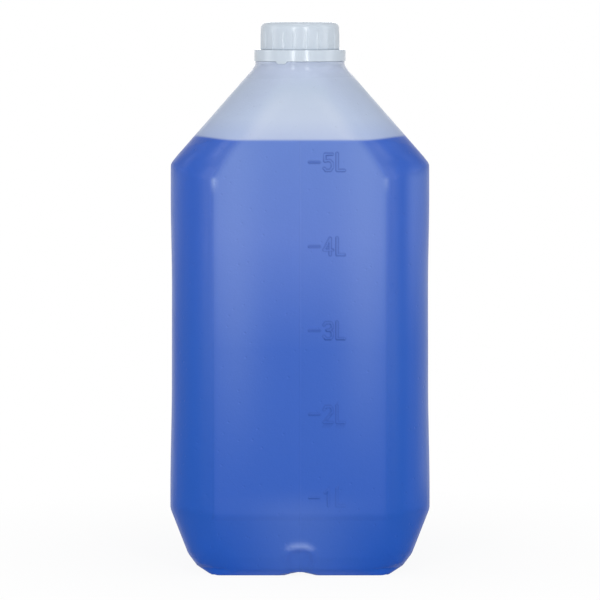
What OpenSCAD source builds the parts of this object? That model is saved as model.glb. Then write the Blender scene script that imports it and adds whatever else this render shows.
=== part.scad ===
// Five-litre blow-moulded jug of glass cleaner, seen in the photo from its narrow front.
// Millimetres. The jug stands on z = 0, its narrow front faces -Y, and +X is to its right.

/* [Body] */
// Width across the flanks just above the heel
body_w = 137; // [110:1:170]
// Width across the flanks at the shoulder corners
upper_w = 135.4; // [108:0.2:168]
// Depth from the litre marks to the back wall
body_d = 183.4; // [150:0.2:230]
// Height of the shoulder corners, where the flanks end
flank_h = 216.3; // [150:0.5:300]
// Radius of the four upright corners
corner_r = 22; // [12:1:30]
// Height over which a shoulder corner is eased, above and below
corner_ease = 2.4; // [1:0.1:4]
// Thickness of the blown wall
wall = 1.3; // [0.8:0.1:2.5]

/* [Base] */
// Height at which the heel turns into the flanks
heel_top = 34.2; // [20:0.5:50]
// Height of the knee of the heel
heel_knee_h = 10.2; // [6:0.2:14]
// How far the knee of the heel is drawn in from the flanks
heel_knee_in = 9.3; // [5:0.1:14]
// Height of the roll between heel and foot
foot_roll_h = 3.8; // [2:0.1:5]
// How far that roll is drawn in from the flanks
foot_roll_in = 14; // [10:0.5:18]
// How far the flat foot is drawn in from the flanks
foot_in = 21.5; // [16:0.5:30]
// Share of these insets that the front and the back have
end_share = 0.6; // [0.4:0.05:1]
// Width of the pinch-off groove along the middle of the base
groove_w = 18; // [8:1:30]
// Height of the pinch-off groove
groove_h = 1.5; // [1:0.1:4]

/* [Shoulder and neck] */
// Rise of the shoulders from the shoulder corners to the collar
shoulder_rise = 50.5; // [30:0.5:70]
// Height above the shoulder corners at which the front turns back to the neck
front_turn = 13.2; // [8:0.2:20]
// Distance from the front panel to the neck's axis
neck_setback = 44.3; // [36:0.1:60]
// Diameter of the collar under the tamper ring
collar_d = 47.2; // [44:0.1:56]
// Height of the collar's straight side
collar_h = 2.6; // [1.5:0.1:6]
// Outer diameter of the threaded neck
neck_d = 36; // [28:0.2:37]
// Height of the neck above the collar
neck_h = 18.6; // [14:0.2:24]
// Thickness of the neck's wall
neck_wall = 1.6; // [1:0.1:3]
// How far the bead that holds the tamper ring stands out from the neck
bead_out = 1.3; // [0.8:0.1:1.6]
// Height of that bead's middle above the collar
bead_rise = 2.9; // [2.4:0.1:3.4]

/* [Handle] */
// Width of the handle across the jug
handle_w = 28; // [18:1:36]
// Thickness of the handle, seen from the side
handle_t = 21; // [16:0.5:26]
// Height of the deck behind the tower, above the shoulder corners
deck_rise = 4.6; // [3:0.2:10]
// Clear height of the finger gap under the handle
finger_h = 25.4; // [20:0.2:40]
// How far the tower's back leans forward, from deck to collar
tower_lean = 18; // [8:1:30]
// Distance from the back wall to the handle's back
handle_inset = 2; // [1:0.5:8]
// Height of the sweep where the tower's back meets the deck
tower_sweep = 4; // [2:0.5:8]
// Radius of the handle's bend, along its middle line
bend_r = 20; // [14:1:26]

/* [Front panel and marks] */
// How far the front panel stands out from the front
panel_out = 0.6; // [0.3:0.1:1.5]
// Width of the plain border between the round corners and the panel
panel_border = 0.8; // [0.2:0.1:4]
// Height of the panel's lower edge
panel_bottom = 31.2; // [24:0.2:60]
// How far the litre marks stand out from the panel
mark_out = 0.4; // [0.2:0.1:0.8]
// Height of the one-litre mark's middle
mark_first = 42.8; // [36:0.2:60]
// Distance from the front's turn down to the middle of the top litre mark
mark_top_gap = 11.5; // [9:0.1:30]
// Number of litre marks
mark_count = 5; // [2:1:5]
// Height of a figure
figure_h = 9.6; // [5:0.2:14]
// Width of the stroke that draws a figure
stroke_w = 1.2; // [0.6:0.1:2]

/* [Filling] */
// How far the cleaner stands above the top litre mark
fill_over = 11.8; // [-60:0.1:12]
// Thin space between the cleaner and the wall
fill_gap = 0.05; // [0.02:0.01:0.3]

/* [Cap and ring] */
// Outer diameter of the cap over its ribs
cap_d = 42.1; // [38:0.1:44]
// Height of the cap
cap_h = 14.1; // [11:0.1:20]
// Thickness of the cap's skirt and top
cap_wall = 1.3; // [1:0.1:2]
// Radius of the cap's rounded top edge
cap_edge_r = 3.4; // [2:0.1:4.5]
// Number of grip ribs around the cap
rib_count = 20; // [8:1:60]
// Width of a grip rib
rib_w = 1.3; // [0.8:0.1:2.5]
// How far a grip rib stands out
rib_out = 0.35; // [0.2:0.05:0.6]
// Thickness of the sealing wad inside the cap
liner_t = 0.9; // [0.5:0.1:2]
// Outer diameter of the tamper ring
ring_d = 48.3; // [46:0.1:60]
// Thickness of the tamper ring's skirt
ring_wall = 1.3; // [0.8:0.1:1.6]
// Gap between the cap's skirt and the tamper ring
break_gap = 0.4; // [0.3:0.1:1]
// Gap between the tamper ring's skirt and the collar
skirt_gap = 0.5; // [0.3:0.1:0.8]
// How far the ring's hook and flange stay clear of the neck and its thread
ring_clearance = 0.4; // [0.3:0.1:0.5]
// Width of the tab under the tamper ring
tab_w = 6; // [3:0.5:10]
// How far that tab hangs below the collar's top
tab_drop = 0.8; // [0.4:0.1:1.6]
// Thickness of that tab
tab_t = 0.45; // [0.3:0.05:0.5]
// Angle from the front to that tab
tab_angle = -24; // [-90:1:90]

/* [Thread] */
// Rise of the thread in one turn
pitch = 5; // [4:0.1:6]
// Height of the thread's ridge, on the neck and in the cap
ridge_h = 1.15; // [0.8:0.05:1.2]
// Width of that ridge at its root
ridge_root = 2.1; // [1.6:0.1:2.2]
// Width of that ridge at its crest
ridge_crest = 0.9; // [0.6:0.1:1.2]
// Turns of thread on the neck
neck_turns = 1.5; // [1:0.1:1.6]
// Turns of thread in the cap
cap_turns = 1.2; // [1:0.1:1.4]
// Space between a ridge's crest and the wall it faces
thread_gap = 0.4; // [0.3:0.05:0.6]

/* [Hidden] */
$fn = 96;

corner_steps = 6;
panel_y = -body_d / 2 + mark_out;
front_y = panel_y + panel_out;
back_y = body_d / 2;
neck_y = panel_y + neck_setback;
collar_r = collar_d / 2;
neck_r = neck_d / 2;
bore_r = neck_r - neck_wall;
shoulder_top = flank_h + shoulder_rise;
collar_top = shoulder_top + collar_h;
neck_top = collar_top + neck_h;
front_turn_z = flank_h + front_turn;
deck_z = flank_h + deck_rise;
handle_z = deck_z + finger_h + handle_t / 2;
handle_back_y = back_y - handle_t / 2 - handle_inset;
// The deck falls a little towards the back, so that drips run off
deck_fall = 0.6;
tower_foot_y = neck_y + collar_r + tower_lean;
upper_half = upper_w / 2;
// Run of the shoulders towards the neck for each millimetre of rise
shoulder_run = (upper_w / 2 - collar_r) / shoulder_rise;
shoulder_k = sqrt(1 + shoulder_run * shoulder_run);
cap_top = neck_top + liner_t + cap_wall;
cap_bottom = cap_top - cap_h;
ring_top = cap_bottom - break_gap;
cap_in_r = neck_r + ridge_h + thread_gap;
ring_in_r = neck_r + ridge_h + ring_clearance;
panel_edge = corner_r + panel_border;
// The panel's upper corners are cut off between these two distances below the shoulders
panel_hip_drop = 6.5;
panel_top_gap = 0.5;
top_mark_z = front_turn_z - mark_top_gap;
mark_step = (top_mark_z - mark_first) / (mark_count - 1);
fill_h = top_mark_z + fill_over;
// Share of an inset by which the upright corners get sharper towards the foot
corner_taper = 0.65;
collar_wall = 1.6 * wall;
// How far the neck, the handle's back and its front run on inside the body
neck_root = 6;
handle_root = 8;
handle_front_root = 6;
// The handle's front end lies this much lower than its back
handle_tilt = 1;
// Makes the handle's section rounder than a square and squarer than an ellipse
handle_soft = 0.75;
// Chamfers of the neck's rim and of the tamper ring's upper edge
rim_chamfer = 0.6;
ring_chamfer = 0.4;
// Recess inside the tamper ring's skirt, above its hook
ring_relief = 0.2;
// Both ridges sink this far into their walls, and stop this far from the rim and the skirt's edge
root_sink = 0.5;
hook_t = 1.1;
thread_end = 0.5;
thread_start = neck_top - 2 * thread_end - ridge_root / 2 - pitch * neck_turns;
cap_thread_start = cap_bottom + thread_end + ridge_root / 2;
// The cap's ridge lies a little above the middle between two turns of the neck's
thread_lift = 0.1;
cap_thread_angle = 360 * ((cap_thread_start - thread_start) / pitch + 0.5 - thread_lift);

function mix(a, b, u) = a + (b - a) * u;
function shoulder_half(z) = upper_half - (z - flank_h) * shoulder_run;

// Points of one level of the body: a rectangle with round corners, seen from above
function level(z, half, front, back, r) = [
    for (c = [[1, back, 0], [-1, back, 90], [-1, front, 180], [1, front, 270]])
        for (i = [0 : corner_steps])
            let (a = c[2] + 90 * i / corner_steps,
                 mid_y = c[1] == back ? back - r : front + r)
                [c[0] * (half - r) + r * cos(a), mid_y + r * sin(a), z]
];

// One level drawn in from the flanks, and less so from the front and the back
function base_level(z, inset, t) =
    let (half = mix(body_w, upper_w, max(z - heel_top, 0) / (flank_h - heel_top)) / 2,
         end_in = inset * end_share + t)
    level(z, half - inset - t, front_y + end_in, back_y - end_in,
          corner_r - corner_taper * inset - t);

// One level of the bevel that runs round the back of the body at the shoulder corners
function shoulder_level(z, rise, t) =
    level(z, shoulder_half(z) - t * shoulder_k, front_y + t,
          back_y - rise * shoulder_run - t, corner_r - t);

// One level of the tower, which turns from the body's rectangle into the neck's circle
function tower_level(z, t) =
    let (u = (z - front_turn_z) / (shoulder_top - front_turn_z),
         k = t * shoulder_k,
         half = shoulder_half(z) - k,
         front = mix(front_y, neck_y - collar_r, max(u, 0)) + k,
         back = mix(tower_foot_y, neck_y + collar_r, u) - k,
         round_r = mix(corner_r, collar_r, max(u, 0)) - k)
    level(z, half, front, back, min(round_r, half - 0.01, (back - front) / 2 - 0.01));

// Levels of the whole body from the foot up, drawn in by the thickness t
function body_levels(t) = [
    base_level(t, foot_in, t * 0.5),
    base_level(foot_roll_h + t * 0.7, foot_roll_in, t * 0.7),
    base_level(heel_knee_h + t * 0.4, heel_knee_in, t * 0.9),
    base_level(heel_top, 0, t),
    base_level(flank_h - corner_ease, 0, t),
    shoulder_level(flank_h + corner_ease * 0.7, corner_ease, t),
    shoulder_level(deck_z - deck_fall - t, deck_rise, t),
    level(deck_z - t, shoulder_half(deck_z - t) - t * shoulder_k,
          front_y + t, tower_foot_y + tower_sweep - t, corner_r - t),
    tower_level(deck_z + tower_sweep - t, t),
    tower_level(front_turn_z, t),
    tower_level(mix(front_turn_z, shoulder_top, 0.5), t),
    tower_level(shoulder_top - 1, t)
];

// A closed solid through a stack of rings that all have the same number of points
module skin(rings) {
    n = len(rings[0]);
    last = len(rings) - 1;
    polyhedron(
        points = [for (ring = rings) for (p = ring) p],
        faces = concat(
            [[for (i = [0 : n - 1]) i]],
            [for (k = [0 : last - 1]) for (i = [0 : n - 1])
                let (j = (i + 1) % n) [k * n + i, (k + 1) * n + i, (k + 1) * n + j]],
            [for (k = [0 : last - 1]) for (i = [0 : n - 1])
                let (j = (i + 1) % n) [k * n + i, (k + 1) * n + j, k * n + j]],
            [[for (i = [n - 1 : -1 : 0]) last * n + i]]
        )
    );
}

// Middle line of the handle: out of the tower, round the bend and down into the back
function handle_line() = concat(
    [[neck_y + handle_front_root, handle_z - handle_tilt, 0], [tower_foot_y, handle_z, 0]],
    [for (a = [0 : 18 : 90])
        [handle_back_y - bend_r + bend_r * sin(a), handle_z - bend_r + bend_r * cos(a), a]],
    [[handle_back_y, deck_z - handle_root, 90]]
);

// Turns a circle's coordinate into that of the handle's section
function soft(c) = sign(c) * pow(abs(c), handle_soft);

// Oval section of the handle at each point of its middle line
module handle_bar(t) {
    skin([
        for (p = handle_line()) [
            for (a = [345 : -15 : 0])
                let (across = (handle_w / 2 - t) * soft(cos(a)),
                     up = (handle_t / 2 - t) * soft(sin(a)))
                [across, p[0] + up * sin(p[2]), p[1] + up * cos(p[2])]
        ]
    ]);
}

// Pinch-off groove along the base, as a long low roof
module base_groove(t) {
    half = groove_w / 2 + 2 * t;
    rise = groove_h + t;
    rotate([90, 0, 0])
        linear_extrude(height = body_d + 2, center = true)
            polygon([[-half, -1], [-half, t], [0, rise], [half, t], [half, -1]]);
}

// Everything inside the outer skin, drawn in by the thickness t
module body_form(t) {
    difference() {
        skin(body_levels(t));
        base_groove(t);
    }
    handle_bar(t);
}

// Hollow of the jug, from the base up into the collar
module cavity(gap) {
    body_form(wall + gap);
    translate([0, neck_y, shoulder_top - 4])
        cylinder(h = collar_top - wall - shoulder_top + 4 - gap, r = collar_r - collar_wall - gap);
}

// A thread's ridge with a flat crest and blunt ends, its root sunk into the wall that carries it
module ridge(wall_r, out, turns, start_z) {
    steps = round(turns * 36);
    sink = out > 0 ? -root_sink : root_sink;
    profile = [[wall_r + sink, -ridge_root / 2], [wall_r + out, -ridge_crest / 2],
               [wall_r + out, ridge_crest / 2], [wall_r + sink, ridge_root / 2]];
    order = out < 0 ? [0 : 3] : [3 : -1 : 0];
    skin([
        for (i = [0 : steps])
            let (a = 360 * turns * i / steps, z = start_z + pitch * turns * i / steps)
            [for (k = order) let (p = profile[k]) [p[0] * cos(a), p[0] * sin(a), z + p[1]]]
    ]);
}

// Strokes of the figures on a grid of two by four, from the lower left corner
function figure_strokes(n) =
    n == 1 ? [[[1.1, 4], [1.1, 0]], [[0.2, 3.2], [1.1, 3.9]]]
    : n == 2 ? [[[0, 3.2], [0.4, 4], [1.6, 4], [2, 3.2], [2, 2.5], [0.1, 0.1]],
                [[-0.1, 0], [2.1, 0]]]
    : n == 3 ? [[[0, 3.4], [0.4, 4], [1.6, 4], [2, 3.4], [2, 2.7], [1.4, 2.15]],
                [[0.7, 2.1], [1.5, 2.1], [2, 1.6], [2, 0.6], [1.6, 0], [0.4, 0], [0, 0.6]]]
    : n == 4 ? [[[1.5, 0], [1.5, 4.1]], [[1.45, 4], [0.05, 1.25]], [[-0.1, 1.2], [2.1, 1.2]]]
    : [[[2, 4], [0.25, 4], [0.15, 2.3], [1.4, 2.45], [2, 1.8], [2, 0.7], [1.5, 0],
        [0.4, 0], [0, 0.5]]];
letter_l = [[[0, 4.2], [0, 0], [1.8, 0]]];

// Side step of a line of strokes at point i, mitred between its two neighbours
function side_step(line, i) =
    let (before = line[max(i - 1, 0)],
         after = line[min(i + 1, len(line) - 1)],
         a = i == 0 ? after - line[i] : line[i] - before,
         b = i == len(line) - 1 ? a : after - line[i],
         turn = a / norm(a) + b / norm(b))
    [-turn[1], turn[0]] * stroke_w / (turn * turn);

// A line of strokes as one flat outline
module pen(line) {
    ends = [0 : len(line) - 1];
    polygon(concat(
        [for (i = ends) line[i] - side_step(line, i)],
        [for (i = [len(line) - 1 : -1 : 0]) line[i] + side_step(line, i)]
    ));
}

// One litre mark: a dash, the figure and the letter, standing out from the panel
module litre_mark(n) {
    cell = (figure_h - stroke_w) / 4;
    translate([0, front_y, mark_first + (n - 1) * mark_step])
        rotate([90, 0, 0])
            linear_extrude(height = panel_out + mark_out) {
                pen([[figure_h * 0.5, 0], [figure_h * 1.05, 0]]);
                translate([figure_h * 1.3, -cell * 2])
                    for (line = figure_strokes(n)) pen(line * cell);
                translate([figure_h * 2.0, -cell * 2])
                    for (line = letter_l) pen(line * cell);
            }
}

// Raised panel of the front, cut off along the shoulders
module front_panel() {
    side = body_w / 2 - panel_edge;
    top_side = shoulder_half(front_turn_z) - panel_edge - panel_border;
    hip_z = flank_h - panel_hip_drop;
    top_z = front_turn_z - panel_top_gap;
    rotate([90, 0, 0])
        translate([0, 0, -front_y - root_sink])
            linear_extrude(height = panel_out + root_sink)
                polygon([[-side, panel_bottom], [side, panel_bottom], [side, hip_z],
                         [top_side, top_z], [-top_side, top_z], [-side, hip_z]]);
}

// Collar, neck and the bead that keeps the tamper ring down
module neck_outside() {
    translate([0, neck_y, 0])
        rotate_extrude()
            polygon([[0, shoulder_top - neck_root], [collar_r, shoulder_top - neck_root],
                     [collar_r, collar_top],
                     [neck_r, collar_top],
                     [neck_r, collar_top + bead_rise - bead_out],
                     [neck_r + bead_out, collar_top + bead_rise - 0.2],
                     [neck_r + bead_out, collar_top + bead_rise + 0.2],
                     [neck_r, collar_top + bead_rise + bead_out],
                     [neck_r, neck_top - rim_chamfer], [neck_r - rim_chamfer, neck_top],
                     [0, neck_top]]);
}

module jug_body() {
    color([0.82, 0.87, 0.93])
    difference() {
        union() {
            body_form(0);
            front_panel();
            for (n = [1 : mark_count]) litre_mark(n);
            neck_outside();
            translate([0, neck_y, 0])
                ridge(neck_r, ridge_h, neck_turns, thread_start);
        }
        cavity(0);
        translate([0, neck_y, shoulder_top - neck_root])
            cylinder(h = neck_top - shoulder_top + neck_root + 1, r = bore_r);
    }
}

module glass_cleaner() {
    color([0.30, 0.42, 0.80])
    intersection() {
        cavity(fill_gap);
        translate([-body_w, -body_d, 0])
            cube([2 * body_w, 2 * body_d, fill_h]);
    }
}

// Ring left on the neck: skirt, top flange, an inner hook under the bead, and one tab
module tamper_ring() {
    outer = ring_d / 2;
    inner = outer - ring_wall;
    height = ring_top - collar_top;
    hook_in = neck_r + ring_clearance;
    color([0.80, 0.85, 0.89])
    translate([0, neck_y, collar_top]) {
        rotate_extrude()
            polygon([[hook_in, 0], [inner, 0], [inner, skirt_gap], [outer, skirt_gap],
                     [outer, height - ring_chamfer], [outer - ring_chamfer, height],
                     [ring_in_r, height], [ring_in_r, height - ring_wall],
                     [inner - ring_relief, height - ring_wall],
                     [inner - ring_relief, hook_t], [hook_in, hook_t]]);
        intersection() {
            rotate(tab_angle)
                translate([-tab_w / 2, -outer - 1, -tab_drop])
                    cube([tab_w, outer, tab_drop + ring_wall]);
            difference() {
                translate([0, 0, -tab_drop]) cylinder(h = tab_drop + ring_wall, r = outer);
                translate([0, 0, -tab_drop - 1])
                    cylinder(h = tab_drop + ring_wall + 2, r = outer - tab_t);
            }
        }
    }
}

// Screw cap: ribbed skirt, rounded top edge and the inside thread
module cap() {
    outer = cap_d / 2 - rib_out;
    color([0.84, 0.88, 0.92])
    translate([0, neck_y, 0]) {
        rotate_extrude()
            difference() {
                union() {
                    translate([0, cap_bottom]) square([outer, cap_h - cap_edge_r]);
                    translate([0, cap_bottom]) square([outer - cap_edge_r, cap_h]);
                    translate([outer - cap_edge_r, cap_top - cap_edge_r]) circle(r = cap_edge_r);
                }
                translate([-1, cap_bottom - 1])
                    square([cap_in_r + 1, cap_h - cap_wall + 1]);
                translate([-outer - 1, cap_bottom - 1]) square([outer + 1, cap_h + 2]);
            }
        for (i = [0 : rib_count - 1])
            rotate(360 * (i + 0.5) / rib_count)
                translate([outer - 0.4, -rib_w / 2, cap_bottom])
                    cube([rib_out + 0.4, rib_w, cap_h - cap_edge_r - 0.6]);
        rotate(cap_thread_angle)
            ridge(cap_in_r, -ridge_h, cap_turns, cap_thread_start);
    }
}

// Foam wad that seals the neck's rim
module cap_liner() {
    color([0.93, 0.94, 0.95])
    translate([0, neck_y, neck_top])
        cylinder(h = liner_t, r = cap_in_r - 0.5);
}

jug_body();
glass_cleaner();
tamper_ring();
cap();
cap_liner();
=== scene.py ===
import bpy
import bmesh
import math
import numpy as np
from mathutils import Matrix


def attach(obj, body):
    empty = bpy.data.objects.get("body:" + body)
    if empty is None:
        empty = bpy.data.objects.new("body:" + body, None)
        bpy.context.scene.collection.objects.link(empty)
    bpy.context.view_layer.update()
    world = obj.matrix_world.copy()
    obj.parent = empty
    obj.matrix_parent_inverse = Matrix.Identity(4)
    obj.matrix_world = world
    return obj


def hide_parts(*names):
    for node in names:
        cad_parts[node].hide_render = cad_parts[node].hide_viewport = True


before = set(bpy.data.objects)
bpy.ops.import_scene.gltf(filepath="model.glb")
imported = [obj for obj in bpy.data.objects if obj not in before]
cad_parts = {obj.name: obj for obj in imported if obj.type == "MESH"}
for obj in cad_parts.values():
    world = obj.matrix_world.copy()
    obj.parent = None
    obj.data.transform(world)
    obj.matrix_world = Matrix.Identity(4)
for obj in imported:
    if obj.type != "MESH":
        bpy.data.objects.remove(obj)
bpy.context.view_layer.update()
print("frame loaded")

# All lengths are metres. x to the right of the narrow front, -y towards it, z up.


def smoothStep(low, high, value):
    t = np.clip((value - low) / (high - low), 0, 1)
    return t * t * (3 - 2 * t)


def roundMax(a, b, r):  # both solids, with a rounded outer edge
    ua, ub = np.maximum(a + r, 0), np.maximum(b + r, 0)
    return np.minimum(-r, np.maximum(a, b)) + np.sqrt(ua * ua + ub * ub)


def roundMin(a, b, r):  # either solid, with a fillet between them
    ua, ub = np.maximum(r - a, 0), np.maximum(r - b, 0)
    return np.maximum(r, np.minimum(a, b)) - np.sqrt(ua * ua + ub * ub)


def gain(value, spec):  # spec is where it starts, where it is full, and the full amount
    start, end, amount = spec
    return amount * smoothStep(start, end, value)


def hill(value, start, full, lessening, end):  # climbs to 1 and falls back to 0
    return smoothStep(start, full, value) * smoothStep(end, lessening, value)


def bell(value, middle, width):
    return np.exp(-((value - middle) / width) ** 2)


def softenLine(points, radii, steps=10):  # rounds the inner corners of an open line
    line = [points[0]]
    for i in range(1, len(points) - 1):
        a, p, b = (np.array(points[k], float) for k in (i - 1, i, i + 1))
        u, v = (a - p) / np.linalg.norm(a - p), (b - p) / np.linalg.norm(b - p)
        half = math.acos(np.clip(u @ v, -1, 1)) / 2
        r = radii[i - 1]
        if r <= 0 or half > 1.5706:  # a sharp corner, or hardly any turn
            line.append(tuple(p))
            continue
        middle = p + (u + v) / np.linalg.norm(u + v) * r / math.sin(half)
        start, end = p + u * r / math.tan(half), p + v * r / math.tan(half)
        a0 = math.atan2(*(start - middle)[::-1])
        turn = (math.atan2(*(end - middle)[::-1]) - a0 + math.pi) % (2 * math.pi) - math.pi
        for k in range(steps + 1):
            a1 = a0 + turn * k / steps
            line.append((middle[0] + r * math.cos(a1), middle[1] + r * math.sin(a1)))
    line.append(points[-1])
    return line


def wallPlanes(line):  # outward planes of a line that climbs with the solid on its left
    planes = []
    for (u0, v0), (u1, v1) in zip(line[:-1], line[1:]):
        size = math.hypot(u1 - u0, v1 - v0)
        if size > 1e-7:
            nu, nv = (v1 - v0) / size, -(u1 - u0) / size
            planes.append((nu, nv, nu * u0 + nv * v0))
    return planes


def overPlanes(planes, u, v):
    best = None
    for nu, nv, c in planes:
        d = nu * u + nv * v - c
        best = d if best is None else np.maximum(best, d)
    return best


def lineGap(u, v, a, b):  # distance from a straight stretch
    du, dv = b[0] - a[0], b[1] - a[1]
    t = np.clip(((u - a[0]) * du + (v - a[1]) * dv) / (du * du + dv * dv), 0, 1)
    return np.hypot(u - a[0] - t * du, v - a[1] - t * dv)


def ruler(stops):  # stops of (place, step up to the next place)
    marks = []
    for (a, step), (b, _) in zip(stops[:-1], stops[1:]):
        marks.extend(np.linspace(a, b, max(1, round((b - a) / step)), endpoint=False))
    return np.array(marks + [stops[-1][0]])


def bothSides(half):
    return np.concatenate([-half[:0:-1], half])


def surfaceNet(xs, ys, zs, values):  # one point in each cell that the surface crosses
    inside, axes = values < 0, (xs, ys, zs)
    size = values.shape
    count = np.zeros([n - 1 for n in size], np.int8)
    for a in (0, 1):
        for b in (0, 1):
            for c in (0, 1):
                count += inside[a:size[0] - 1 + a, b:size[1] - 1 + b, c:size[2] - 1 + c]
    cells = np.argwhere((count > 0) & (count < 8))
    index = np.full(count.shape, -1, np.int64)
    index[tuple(cells.T)] = np.arange(len(cells))
    total, hits = np.zeros((len(cells), 3)), np.zeros(len(cells))
    for axis in range(3):
        b, c = (axis + 1) % 3, (axis + 2) % 3
        for db in (0, 1):
            for dc in (0, 1):
                start = cells.copy()
                start[:, b] += db
                start[:, c] += dc
                end = start.copy()
                end[:, axis] += 1
                v0, v1 = values[tuple(start.T)], values[tuple(end.T)]
                cross = (v0 < 0) != (v1 < 0)
                t = np.where(cross, v0 / np.where(cross, v0 - v1, 1), 0)
                p = np.stack([axes[k][start[:, k]] for k in range(3)], 1)
                p[:, axis] += t * (axes[axis][end[:, axis]] - axes[axis][start[:, axis]])
                total += p * cross[:, None]
                hits += cross
    quads = []
    for axis in range(3):
        b, c = (axis + 1) % 3, (axis + 2) % 3
        first, last = [slice(None)] * 3, [slice(None)] * 3
        first[axis], last[axis] = slice(0, -1), slice(1, None)
        edges = np.argwhere(inside[tuple(first)] != inside[tuple(last)])
        keep = (edges[:, b] > 0) & (edges[:, c] > 0)
        keep &= (edges[:, b] < size[b] - 1) & (edges[:, c] < size[c] - 1)
        edges = edges[keep]
        quad = []
        for db, dc in ((-1, -1), (0, -1), (0, 0), (-1, 0)):
            cell = edges.copy()
            cell[:, b] += db
            cell[:, c] += dc
            quad.append(index[tuple(cell.T)])
        quad = np.stack(quad, 1)
        back = ~inside[tuple(edges.T)]
        quad[back] = quad[back][:, ::-1]
        quads.append(quad)
    return total / hits[:, None], np.concatenate(quads), cells


def settle(points, field, passes=3, step=0.0002, flat=None, reach=0.0015):
    # moves the points onto the surface; those in flat keep their height
    for _ in range(passes):
        slope = fieldSlope(points, field, step)
        if flat is not None:
            slope[flat, 2] = 0
        value = field(*points.T)
        move = slope * (value / np.maximum((slope * slope).sum(1), 1e-6))[:, None]
        length = np.linalg.norm(move, axis=1)
        points = points - move * np.minimum(1, reach / np.maximum(length, 1e-12))[:, None]
    slope = fieldSlope(points, field, step)
    return points, slope / np.maximum(np.linalg.norm(slope, axis=1), 1e-9)[:, None]


def fieldSlope(points, field, step):
    slope = np.zeros_like(points)
    for k in range(3):
        ahead, behind = points.copy(), points.copy()
        ahead[:, k] += step
        behind[:, k] -= step
        slope[:, k] = (field(*ahead.T) - field(*behind.T)) / (2 * step)
    return slope


def spin(profile, segments, centre, bend=None, closed=False):
    # turns a profile of (radius, height) round an upright axis; radius 0 is a single point
    turn = np.arange(segments) * 2 * math.pi / segments
    points, rows, faces = [], [], []
    for r, z in profile:
        if r == 0:
            rows.append([len(points)])
            points.append((centre[0], centre[1], z))
            continue
        rs, zs = np.full(segments, r), np.full(segments, z)
        if bend:
            rs, zs = bend(turn, rs, zs)
        rows.append(list(range(len(points), len(points) + segments)))
        points += list(zip(centre[0] + rs * np.cos(turn), centre[1] + rs * np.sin(turn), zs))
    pairs = list(zip(rows[:-1], rows[1:])) + ([(rows[-1], rows[0])] if closed else [])
    for a, b in pairs:
        for i in range(segments):
            j = (i + 1) % segments
            if len(a) == 1:
                faces.append((a[0], b[j], b[i]))
            elif len(b) == 1:
                faces.append((a[i], a[j], b[0]))
            else:
                faces.append((a[i], a[j], b[j], b[i]))
    return points, faces, rows


def zipLoops(points, first, second, centre):  # joins two rings that turn the same way
    def sortRound(loop):
        angle = [math.atan2(points[i][1] - centre[1], points[i][0] - centre[0]) for i in loop]
        order = np.argsort(angle)
        return [loop[k] for k in order], [angle[k] for k in order]
    a, ta = sortRound(first)
    b, tb = sortRound(second)
    faces, i, j = [], 0, 0
    while i < len(a) or j < len(b):
        nextA = ta[i + 1] if i + 1 < len(a) else ta[(i + 1) % len(a)] + 2 * math.pi
        nextB = tb[j + 1] if j + 1 < len(b) else tb[(j + 1) % len(b)] + 2 * math.pi
        if j >= len(b) or (i < len(a) and nextA <= nextB):
            faces.append((a[i % len(a)], a[(i + 1) % len(a)], b[j % len(b)]))
            i += 1
        else:
            faces.append((a[i % len(a)], b[(j + 1) % len(b)], b[j % len(b)]))
            j += 1
    return faces


def makePiece(name, points, faces, material, normals=None):
    mesh = bpy.data.meshes.new(name)
    mesh.from_pydata([tuple(p) for p in points], [], [tuple(f) for f in faces])
    mesh.polygons.foreach_set("use_smooth", [True] * len(mesh.polygons))
    mesh.update()
    if normals is not None:
        mesh.normals_split_custom_set_from_vertices([tuple(n) for n in normals])
    piece = bpy.data.objects.new(name, mesh)
    bpy.context.scene.collection.objects.link(piece)
    mesh.materials.append(material)
    return piece


def newMaterial(name, settings):
    material = bpy.data.materials.new(name)
    material.use_nodes = True
    tree = material.node_tree
    shader = tree.nodes["Principled BSDF"]
    for socket, value in settings.items():
        shader.inputs[socket].default_value = value
    return material, tree, shader


def addNode(tree, kind, sockets=None, **options):
    node = tree.nodes.new(kind)
    for key, value in options.items():
        setattr(node, key, value)
    for key, value in (sockets or {}).items():
        node.inputs[key].default_value = value
    return node


def spread(tree, source, low, high, toLow, toHigh):  # low to high becomes toLow to toHigh
    node = addNode(tree, "ShaderNodeMapRange", {1: low, 2: high, 3: toLow, 4: toHigh})
    tree.links.new(source, node.inputs[0])
    return node.outputs[0]


def combine(tree, operation, first, second):
    node = addNode(tree, "ShaderNodeMath", operation=operation)
    tree.links.new(first, node.inputs[0])
    tree.links.new(second, node.inputs[1])
    return node.outputs[0]


def blend(tree, share, first, second):  # the second colour may be a fixed one
    node = addNode(tree, "ShaderNodeMix", data_type="RGBA")
    tree.links.new(share, node.inputs["Factor"])
    tree.links.new(first, node.inputs[6])
    if isinstance(second, tuple):
        node.inputs[7].default_value = second
    else:
        tree.links.new(second, node.inputs[7])
    return node.outputs[2]


def noiseOver(tree, place, sockets):
    noise = addNode(tree, "ShaderNodeTexNoise", sockets)
    tree.links.new(place.outputs["Object"], noise.inputs["Vector"])
    return noise.outputs["Fac"]


def heightOf(tree, place):
    split = addNode(tree, "ShaderNodeSeparateXYZ")
    tree.links.new(place.outputs["Object"], split.inputs[0])
    return split.outputs["Z"]


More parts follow.
